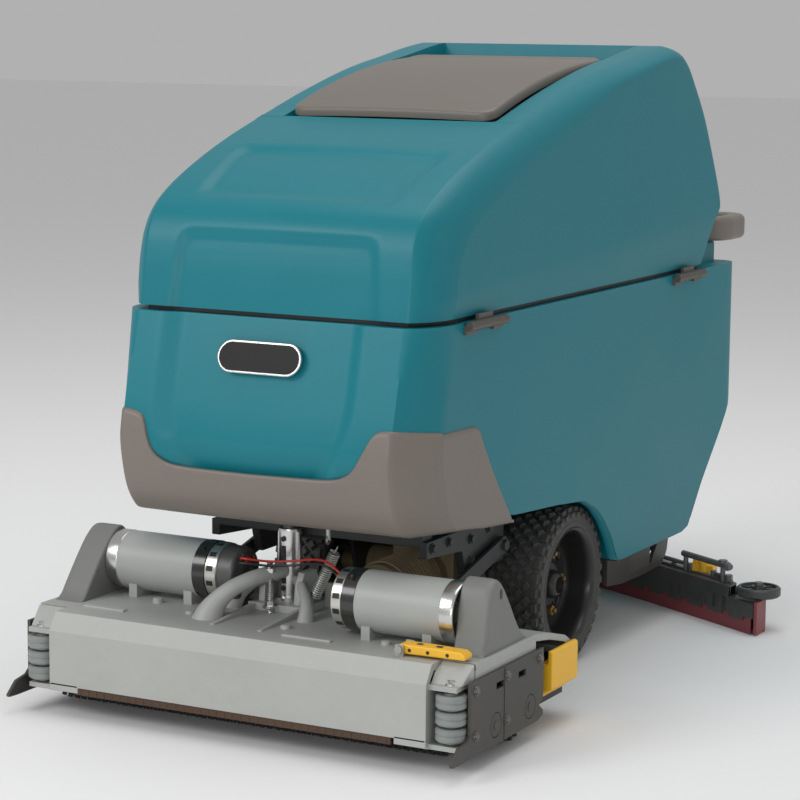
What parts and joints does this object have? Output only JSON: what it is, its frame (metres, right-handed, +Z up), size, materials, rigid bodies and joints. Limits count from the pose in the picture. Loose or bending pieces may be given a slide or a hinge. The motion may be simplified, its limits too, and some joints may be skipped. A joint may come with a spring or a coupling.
{
  "type": "walk-behind floor scrubber",
  "caption": "Walk-behind battery floor scrubber with tipping recovery tank, cylindrical-brush scrub head, drive wheels, casters and swept rear squeegee.",
  "frame": {"origin": "on the floor under the centre of the overall bounding box", "axes": "+Z up, front of the machine faces -Y, +X is the operator's left-hand side (the side with the tank hinges)"},
  "size_m": [1.016, 1.584, 1.104],
  "materials": {
    "teal_plastic": "moulded, fine orange peel",
    "taupe_plastic": "moulded, fine grain",
    "cast_aluminium": "grey painted sand casting",
    "grey_paint": "satin grey enamel",
    "dark_steel": "black powder coat",
    "bright_steel": "zinc plated and turned steel",
    "black_plastic": "moulded",
    "grey_plastic": "moulded",
    "yellow_plastic": "moulded, satin",
    "red_plastic": "moulded, satin",
    "green_plastic": "moulded, satin",
    "red_rubber": "matte polyurethane",
    "black_rubber": "matte",
    "tyre_rubber": "matte, block tread",
    "bristle": "nylon bristle",
    "tan_paint": "satin enamel",
    "display_glass": "dark window"
  },
  "bodies": {
    "chassis": {"chassis_frame": "dark_steel", "solution_tank": "teal_plastic", "tank_gasket": "black_rubber", "battery_tray": "black_plastic", "batteries": "black_plastic", "front_bumper": "taupe_plastic", "name_plate": "bright_steel", "transaxle": "tan_paint", "tank_hinges": "dark_steel", "squeegee_bracket": "dark_steel", "console": "black_plastic", "display": "display_glass", "handle": "taupe_plastic", "lift_actuator": "bright_steel"},
    "recovery_tank": {"recovery_tank": "teal_plastic", "vacuum_fan": "black_plastic", "float_cage": "grey_plastic", "hinge_leaves": "dark_steel"},
    "lid": {"lid": "taupe_plastic", "lid_seal": "black_rubber"},
    "left_wheel": {"left_tyre": "tyre_rubber", "left_rim": "dark_steel"},
    "right_wheel": {"right_tyre": "tyre_rubber", "right_rim": "dark_steel"},
    "left_caster": {"left_caster_fork": "bright_steel"},
    "left_caster_wheel": {"left_caster_wheel": "black_rubber"},
    "right_caster": {"right_caster_fork": "bright_steel"},
    "right_caster_wheel": {"right_caster_wheel": "black_rubber"},
    "scrub_head": {"head_deck": "cast_aluminium", "side_plates": "dark_steel", "head_bolts": "bright_steel", "front_motor": "grey_paint", "rear_motor": "grey_paint", "motor_bands": "bright_steel", "brush_skirt": "bristle", "lift_tube": "bright_steel", "lift_spring": "dark_steel", "motor_wires": "red_plastic", "drive_belts": "black_rubber"},
    "lift_links": {"lift_links": "dark_steel"},
    "front_brush": {"front_brush": "bristle"},
    "rear_brush": {"rear_brush": "bristle"},
    "front_pulley": {"front_pulley": "bright_steel"},
    "rear_pulley": {"rear_pulley": "bright_steel"},
    "head_latch": {"head_latch": "yellow_plastic"},
    "debris_tray": {"debris_tray": "black_plastic", "tray_handle": "yellow_plastic"},
    "left_rollers": {"left_rollers": "grey_plastic"},
    "right_rollers": {"right_rollers": "grey_plastic"},
    "squeegee_arm": {"squeegee_arm": "dark_steel"},
    "squeegee": {"squeegee_frame": "dark_steel", "squeegee_blades": "red_rubber"},
    "squeegee_clamp": {"squeegee_clamp": "yellow_plastic"},
    "left_guide_wheel": {"left_guide_wheel": "black_plastic"},
    "right_guide_wheel": {"right_guide_wheel": "black_plastic"},
    "drive_paddle": {"drive_paddle": "black_plastic"},
    "key_switch": {"key_switch": "bright_steel"},
    "emergency_stop": {"emergency_stop": "red_plastic"},
    "speed_dial": {"speed_dial": "black_plastic"},
    "start_button": {"start_button": "green_plastic"}
  },
  "joints": [
    {"name": "tank_tip", "type": "hinge", "parent": "chassis", "child": "recovery_tank", "pos_m": [0.302, 0, 0.668], "axis": [0, 1, 0], "range_deg": [0, 70]},
    {"name": "lid_hinge", "type": "hinge", "parent": "recovery_tank", "child": "lid", "pos_m": [0, 0.2272, 1.0741], "axis": [-1, 0, 0], "range_deg": [0, 80]},
    {"name": "left_wheel_spin", "type": "hinge", "parent": "chassis", "child": "left_wheel", "pos_m": [0.2175, -0.032, 0.146], "axis": [1, 0, 0], "continuous": true},
    {"name": "right_wheel_spin", "type": "hinge", "parent": "chassis", "child": "right_wheel", "pos_m": [-0.2175, -0.032, 0.146], "axis": [1, 0, 0], "continuous": true},
    {"name": "left_caster_swivel", "type": "hinge", "parent": "chassis", "child": "left_caster", "pos_m": [0.115, 0.29, 0.15], "axis": [0, 0, 1], "continuous": true},
    {"name": "left_caster_roll", "type": "hinge", "parent": "left_caster", "child": "left_caster_wheel", "pos_m": [0.115, 0.325, 0.05], "axis": [1, 0, 0], "continuous": true},
    {"name": "right_caster_swivel", "type": "hinge", "parent": "chassis", "child": "right_caster", "pos_m": [-0.115, 0.29, 0.15], "axis": [0, 0, 1], "continuous": true},
    {"name": "right_caster_roll", "type": "hinge", "parent": "right_caster", "child": "right_caster_wheel", "pos_m": [-0.115, 0.325, 0.05], "axis": [1, 0, 0], "continuous": true},
    {"name": "head_lift", "type": "slide", "parent": "chassis", "child": "scrub_head", "axis": [0, 0, 1], "range_m": [0, 0.04], "deforming": ["lift_spring"]},
    {"name": "link_swing", "type": "hinge", "parent": "chassis", "child": "lift_links", "pos_m": [0.2185, -0.215, 0.25], "axis": [-1, 0, 0], "range_deg": [0, 12]},
    {"name": "front_brush_spin", "type": "hinge", "parent": "scrub_head", "child": "front_brush", "pos_m": [0, -0.641, 0.061], "axis": [1, 0, 0], "continuous": true},
    {"name": "rear_brush_spin", "type": "hinge", "parent": "scrub_head", "child": "rear_brush", "pos_m": [0, -0.516, 0.061], "axis": [1, 0, 0], "continuous": true},
    {"name": "front_pulley_spin", "type": "hinge", "parent": "scrub_head", "child": "front_pulley", "pos_m": [0.376, -0.618, 0.228], "axis": [1, 0, 0], "continuous": true},
    {"name": "rear_pulley_spin", "type": "hinge", "parent": "scrub_head", "child": "rear_pulley", "pos_m": [-0.376, -0.548, 0.228], "axis": [1, 0, 0], "continuous": true},
    {"name": "latch_flip", "type": "hinge", "parent": "scrub_head", "child": "head_latch", "pos_m": [0.285, -0.7, 0.183], "axis": [0, -1, 0], "range_deg": [0, 80]},
    {"name": "tray_pull", "type": "slide", "parent": "scrub_head", "child": "debris_tray", "axis": [1, 0, 0], "range_m": [0, 0.7]},
    {"name": "left_roller_spin", "type": "hinge", "parent": "scrub_head", "child": "left_rollers", "pos_m": [0.383, -0.731, 0.09], "axis": [0, 0, 1], "continuous": true},
    {"name": "right_roller_spin", "type": "hinge", "parent": "scrub_head", "child": "right_rollers", "pos_m": [-0.383, -0.731, 0.09], "axis": [0, 0, 1], "continuous": true},
    {"name": "squeegee_lift", "type": "hinge", "parent": "chassis", "child": "squeegee_arm", "pos_m": [0, 0.455, 0.104], "axis": [1, 0, 0], "range_deg": [0, 10]},
    {"name": "squeegee_swivel", "type": "hinge", "parent": "squeegee_arm", "child": "squeegee", "pos_m": [0, 0.598, 0.095], "axis": [0, 0, 1], "range_deg": [-8, 8]},
    {"name": "clamp_turn", "type": "hinge", "parent": "squeegee", "child": "squeegee_clamp", "pos_m": [0.324, 0.482, 0.09], "axis": [0, 0, 1], "range_deg": [0, 90]},
    {"name": "left_guide_spin", "type": "hinge", "parent": "squeegee", "child": "left_guide_wheel", "pos_m": [0.466, 0.401, 0.075], "axis": [0, 0, 1], "continuous": true},
    {"name": "right_guide_spin", "type": "hinge", "parent": "squeegee", "child": "right_guide_wheel", "pos_m": [-0.466, 0.401, 0.075], "axis": [0, 0, 1], "continuous": true},
    {"name": "paddle_push", "type": "hinge", "parent": "chassis", "child": "drive_paddle", "pos_m": [0, 0.7, 0.726], "axis": [-1, 0, 0], "range_deg": [0, 15], "stiffness_Nm_per_rad": 1},
    {"name": "key_turn", "type": "hinge", "parent": "chassis", "child": "key_switch", "pos_m": [0.12, 0.6726, 0.791], "axis": [0, 0.8572, 0.515], "range_deg": [0, 90]},
    {"name": "stop_push", "type": "slide", "parent": "chassis", "child": "emergency_stop", "axis": [0, -0.8572, -0.515], "range_m": [0, 0.004], "stiffness_N_per_m": 400},
    {"name": "speed_turn", "type": "hinge", "parent": "chassis", "child": "speed_dial", "pos_m": [0.12, 0.6915, 0.7595], "axis": [0, 0.8572, 0.515], "range_deg": [0, 270]},
    {"name": "button_push", "type": "slide", "parent": "chassis", "child": "start_button", "axis": [0, -0.8572, -0.515], "range_m": [0, 0.003], "stiffness_N_per_m": 300}
  ],
  "couplings": [
    {"joint": "link_swing", "follows": "head_lift", "rad_per_m": 5},
    {"joint": "front_pulley_spin", "follows": "front_brush_spin", "ratio": 1.5},
    {"joint": "rear_pulley_spin", "follows": "rear_brush_spin", "ratio": 1.5}
  ]
}
